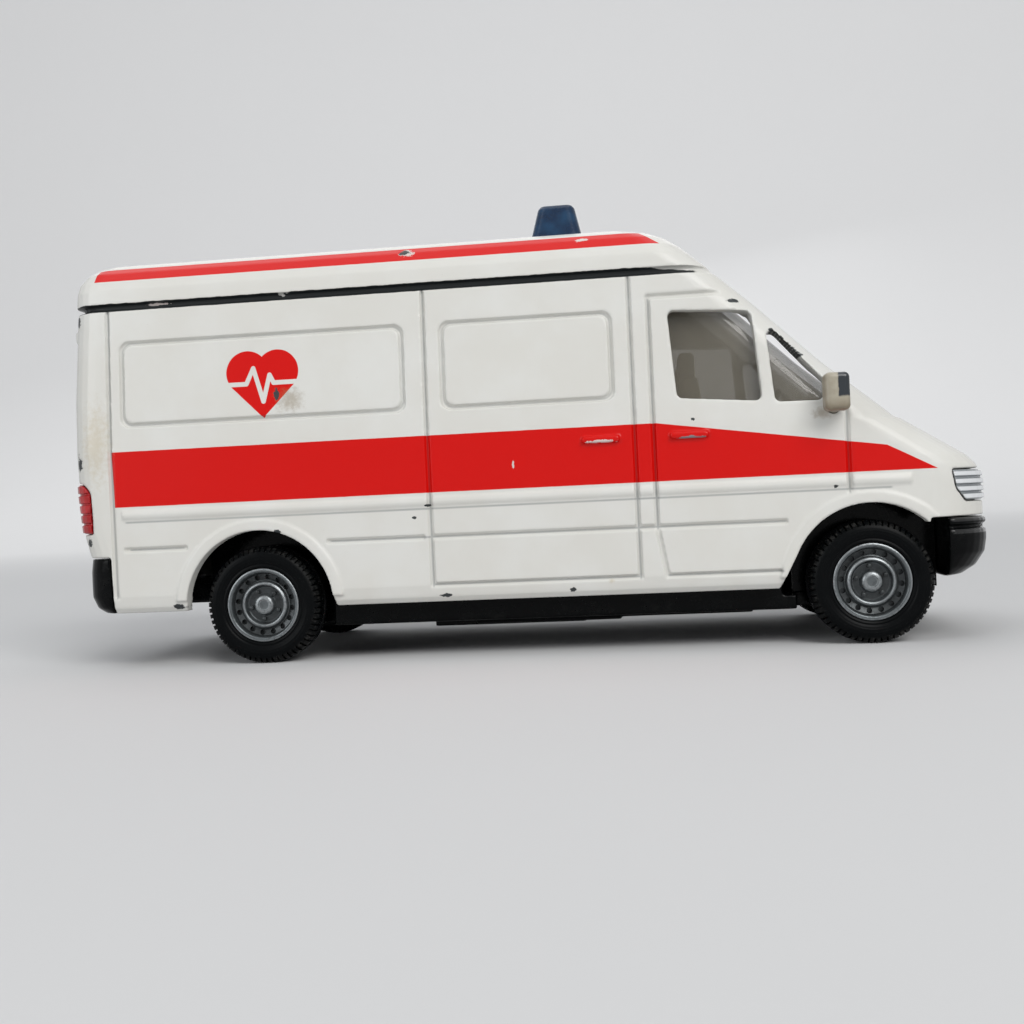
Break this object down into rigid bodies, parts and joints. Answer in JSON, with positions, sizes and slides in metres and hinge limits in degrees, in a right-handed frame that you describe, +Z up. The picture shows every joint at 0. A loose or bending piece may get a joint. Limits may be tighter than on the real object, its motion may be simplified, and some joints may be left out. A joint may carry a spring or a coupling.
{
  "type": "toy ambulance",
  "caption": "Die-cast toy ambulance van with a high roof, clear cab glazing, blue light bar and wheels that roll on steel axles.",
  "frame": {"origin": "on the ground, below the middle of the overall length and width", "axes": "+X towards the front of the van, +Y to its left side, +Z up"},
  "size_m": [0.0804, 0.0336, 0.0399],
  "materials": {
    "white_enamel": "thick gloss enamel over die-cast zinc",
    "clear_plastic": "clear polished plastic",
    "tan_plastic": "satin moulded",
    "dark_plastic": "satin moulded",
    "black_plastic": "semi-gloss moulded",
    "silver_lamp": "bright ribbed plastic",
    "red_plastic": "gloss translucent",
    "blue_plastic": "gloss translucent",
    "steel": "bright drawn",
    "tyre": "semi-gloss moulded",
    "hub_grey": "satin silver-grey"
  },
  "bodies": {
    "van": {"body_shell": "white_enamel", "window_glazing": "clear_plastic", "cab_interior": "tan_plastic", "steering_wheel": "dark_plastic", "chassis_base": "black_plastic", "front_grille": "black_plastic", "headlight_left": "silver_lamp", "headlight_right": "silver_lamp", "tail_light_left": "red_plastic", "tail_light_right": "red_plastic", "mirror_left": "dark_plastic", "mirror_right": "dark_plastic", "light_bar": "blue_plastic", "front_axle_keeper": "black_plastic", "rear_axle_keeper": "black_plastic", "base_rivets": "steel"},
    "front_wheels": {"front_axle": "steel", "tyre_front_left": "tyre", "tyre_front_right": "tyre", "hub_front_left": "hub_grey", "hub_front_right": "hub_grey"},
    "rear_wheels": {"rear_axle": "steel", "tyre_rear_left": "tyre", "tyre_rear_right": "tyre", "hub_rear_left": "hub_grey", "hub_rear_right": "hub_grey"}
  },
  "joints": [
    {"name": "front_roll", "type": "hinge", "parent": "van", "child": "front_wheels", "pos_m": [0.02925, 0, 0.00515], "axis": [0, 1, 0], "continuous": true},
    {"name": "rear_roll", "type": "hinge", "parent": "van", "child": "rear_wheels", "pos_m": [-0.02295, 0, 0.00515], "axis": [0, 1, 0], "continuous": true}
  ]
}
